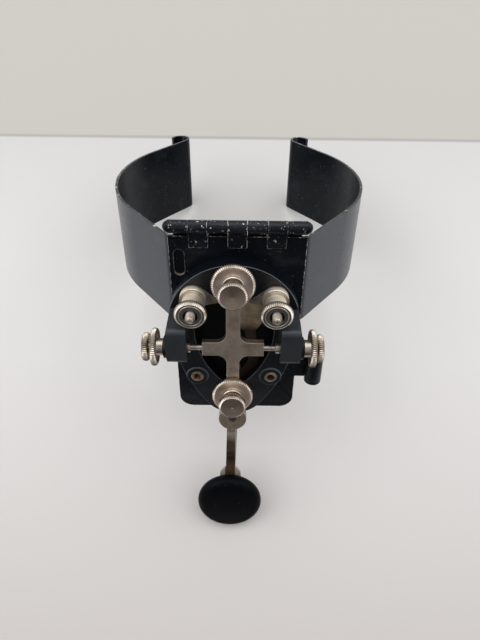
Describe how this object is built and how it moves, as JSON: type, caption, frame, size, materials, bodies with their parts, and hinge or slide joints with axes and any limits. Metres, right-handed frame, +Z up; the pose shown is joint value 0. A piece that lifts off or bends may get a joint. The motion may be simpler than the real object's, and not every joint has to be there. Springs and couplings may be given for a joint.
{
  "type": "leg-clamp telegraph key",
  "caption": "Straight telegraph key on a hinged plate with a sprung thigh clamp: rocking lever with flat knob, knurled adjusting screws, trunnion screws, binding posts and return spring.",
  "frame": {"origin": "on the surface that the key stands on, under the middle of its bounding box", "axes": "+X to the right for someone at the knob, +Y from the knob to the clamp's open rear, +Z up"},
  "size_m": [0.1182, 0.2138, 0.1191],
  "materials": {
    "enamel": "black stove enamel, semi-gloss, chipped at edges",
    "phenolic": "black moulded phenolic, worn satin",
    "nickel": "worn nickel plate, warm grey, satin",
    "brass": "aged brass, dull",
    "steel": "oiled steel, satin"
  },
  "bodies": {
    "clamp": {"leg_clamp": "enamel", "hinge_pin": "steel"},
    "plate": {"key_plate": "enamel", "base": "phenolic", "base_eyelets": "brass", "pillar_bushings": "brass", "post_studs": "nickel", "post_collars": "nickel", "post_lug_left": "nickel", "post_lug_right": "nickel", "rear_anvil": "nickel", "contact_strap": "brass", "lower_contact": "nickel", "spring_seat": "nickel", "return_spring": "steel"},
    "key_lever": {"lever": "nickel", "trunnion_pins": "steel", "upper_contact": "nickel", "knob_arm": "nickel", "knob_washer": "brass", "knob_screw": "nickel", "knob": "phenolic"},
    "rear_screw": {"rear_screw": "nickel"},
    "rear_lock_nut": {"rear_lock_nut": "nickel"},
    "front_screw": {"front_screw": "nickel"},
    "front_lock_nut": {"front_lock_nut": "nickel"},
    "trunnion_screw_left": {"trunnion_screw_left": "nickel"},
    "trunnion_screw_right": {"trunnion_screw_right": "nickel"},
    "trunnion_lock_nut_left": {"trunnion_lock_nut_left": "nickel"},
    "trunnion_lock_nut_right": {"trunnion_lock_nut_right": "nickel"},
    "post_washer_left": {"post_washer_left": "nickel"},
    "post_washer_right": {"post_washer_right": "nickel"},
    "post_nut_left": {"post_nut_left": "nickel"},
    "post_nut_right": {"post_nut_right": "nickel"}
  },
  "joints": [
    {"name": "plate_hinge", "type": "hinge", "parent": "clamp", "child": "plate", "pos_m": [0, 0.00715, 0.11178], "axis": [-1, 0, 0], "range_deg": [0, 180]},
    {"name": "lever_rock", "type": "hinge", "parent": "plate", "child": "key_lever", "pos_m": [-0.0014, -0.03328, 0.08423], "axis": [1, 0, 0], "range_deg": [0, 1.5], "stiffness_Nm_per_rad": 1.5, "springref_deg": -5.73, "deforming": ["return_spring"]},
    {"name": "rear_screw_turn", "type": "hinge", "parent": "key_lever", "child": "rear_screw", "pos_m": [-0.0014, -0.01266, 0.10533], "axis": [0, -0.7153, 0.6988], "continuous": true},
    {"name": "rear_lock_nut_turn", "type": "hinge", "parent": "key_lever", "child": "rear_lock_nut", "pos_m": [-0.0014, -0.01381, 0.10645], "axis": [0, -0.7153, 0.6988], "continuous": true},
    {"name": "front_screw_turn", "type": "hinge", "parent": "key_lever", "child": "front_screw", "pos_m": [-0.0014, -0.04858, 0.06857], "axis": [0, -0.7153, 0.6988], "continuous": true},
    {"name": "front_lock_nut_turn", "type": "hinge", "parent": "key_lever", "child": "front_lock_nut", "pos_m": [-0.0014, -0.04973, 0.06968], "axis": [0, -0.7153, 0.6988], "continuous": true},
    {"name": "trunnion_screw_left_turn", "type": "hinge", "parent": "plate", "child": "trunnion_screw_left", "pos_m": [-0.028, -0.03328, 0.08423], "axis": [-1, 0, 0], "continuous": true},
    {"name": "trunnion_lock_nut_left_turn", "type": "hinge", "parent": "plate", "child": "trunnion_lock_nut_left", "pos_m": [-0.028, -0.03328, 0.08423], "axis": [-1, 0, 0], "continuous": true},
    {"name": "trunnion_screw_right_turn", "type": "hinge", "parent": "plate", "child": "trunnion_screw_right", "pos_m": [0.0258, -0.03328, 0.08423], "axis": [1, 0, 0], "continuous": true},
    {"name": "trunnion_lock_nut_right_turn", "type": "hinge", "parent": "plate", "child": "trunnion_lock_nut_right", "pos_m": [0.0258, -0.03328, 0.08423], "axis": [1, 0, 0], "continuous": true},
    {"name": "post_washer_left_lift", "type": "slide", "parent": "plate", "child": "post_washer_left", "axis": [0, -0.8107, 0.5854], "range_m": [0, 0.0024]},
    {"name": "post_nut_left_turn", "type": "hinge", "parent": "post_washer_left", "child": "post_nut_left", "pos_m": [-0.0178, -0.02579, 0.10152], "axis": [0, -0.8107, 0.5854], "range_deg": [0, 1080]},
    {"name": "post_washer_right_lift", "type": "slide", "parent": "plate", "child": "post_washer_right", "axis": [0, -0.8107, 0.5854], "range_m": [0, 0.0024]},
    {"name": "post_nut_right_turn", "type": "hinge", "parent": "post_washer_right", "child": "post_nut_right", "pos_m": [0.0156, -0.02579, 0.10152], "axis": [0, -0.8107, 0.5854], "range_deg": [0, 1080]}
  ],
  "couplings": [
    {"joint": "post_washer_left_lift", "follows": "post_nut_left_turn", "m_per_rad": 0.00012633},
    {"joint": "post_washer_right_lift", "follows": "post_nut_right_turn", "m_per_rad": 0.00012633}
  ]
}
